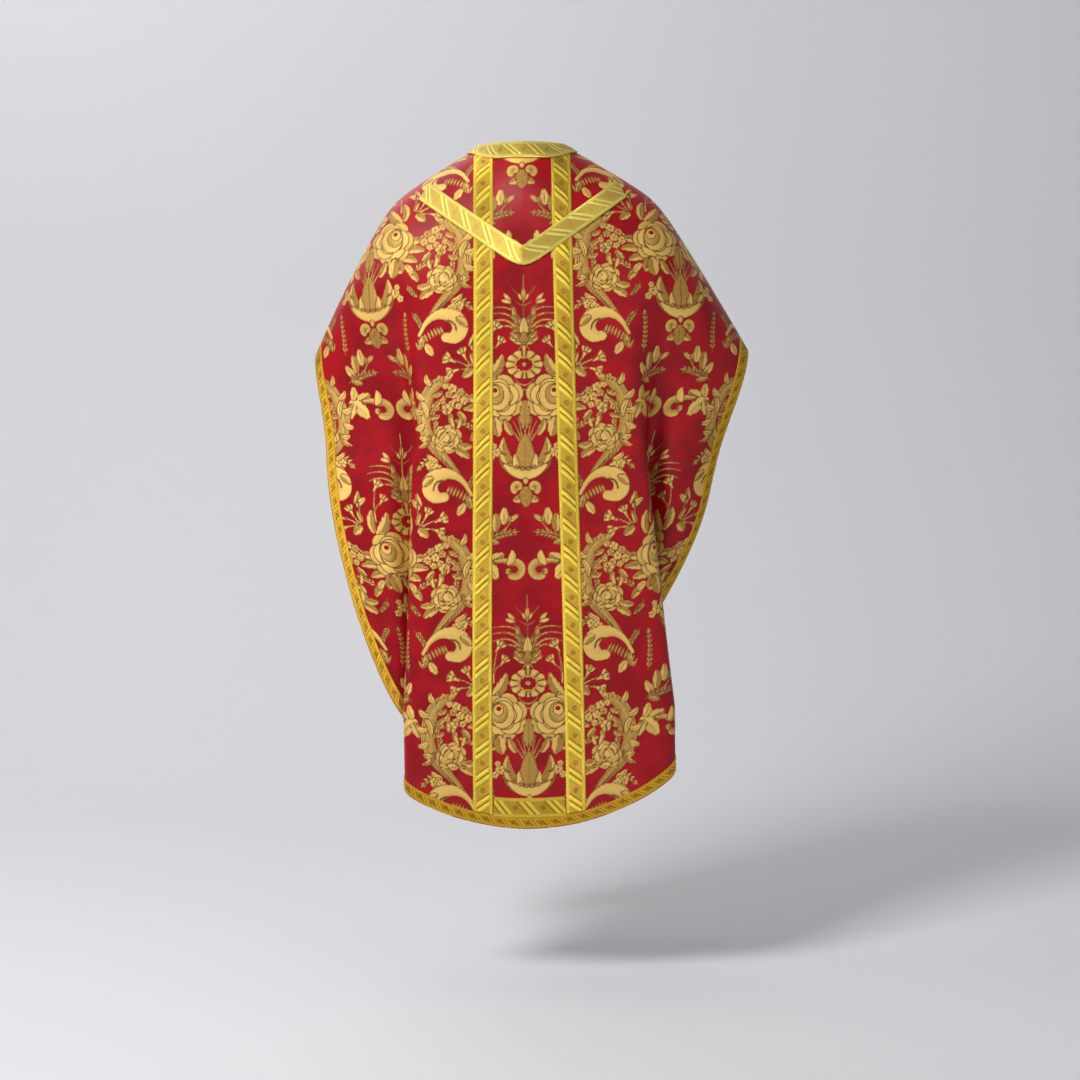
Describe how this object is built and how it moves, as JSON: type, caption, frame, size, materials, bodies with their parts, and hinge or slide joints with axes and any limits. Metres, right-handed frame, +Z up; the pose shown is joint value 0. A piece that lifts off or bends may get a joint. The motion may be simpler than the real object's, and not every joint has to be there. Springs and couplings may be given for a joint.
{
  "type": "chasuble",
  "caption": "Sleeveless poncho-like vestment of figured brocade with woven braid columns, V yoke, neck and hem braids, draped as worn, with a fold behind each arm.",
  "frame": {"origin": "middle of the neck opening, on the line of the shoulder ridge, level with the back neck edge", "axes": "+Z up; +Y the way the wearer faces, so the front sheet is at +Y and the back sheet at -Y; +X to the wearer's right"},
  "size_m": [0.7525, 0.3458, 1.1648],
  "materials": {
    "brocade": "red silk satin ground with a figure brocaded in gold thread, semi-gloss",
    "galloon": "gold metal-thread braid with a raised pattern, satin metallic",
    "bright_galloon": "paler gold metal-thread braid, satin metallic",
    "edging": "narrow gold metal-thread braid, satin metallic",
    "lining": "plain wine-red satin",
    "interlining": "stiff unbleached linen canvas, matte",
    "tape": "woven cotton tape, matte"
  },
  "bodies": {
    "root": {"back_centre_panel": "brocade", "back_left_panel": "brocade", "back_right_panel": "brocade", "back_interlining": "interlining", "back_lining": "lining", "back_left_column_braid": "galloon", "back_right_column_braid": "galloon", "back_foot_braid": "galloon", "back_yoke_braid": "bright_galloon", "back_neck_braid": "bright_galloon", "back_hem_braid": "edging", "back_neck_facing": "lining", "front_centre_panel": "brocade", "front_left_panel": "brocade", "front_right_panel": "brocade", "front_interlining": "interlining", "front_lining": "lining", "front_left_column_braid": "galloon", "front_right_column_braid": "galloon", "front_foot_braid": "galloon", "front_yoke_braid": "bright_galloon", "front_neck_braid": "bright_galloon", "front_hem_braid": "edging", "front_neck_facing": "lining", "left_shoulder_tape": "tape", "right_shoulder_tape": "tape"}
  },
  "joints": []
}
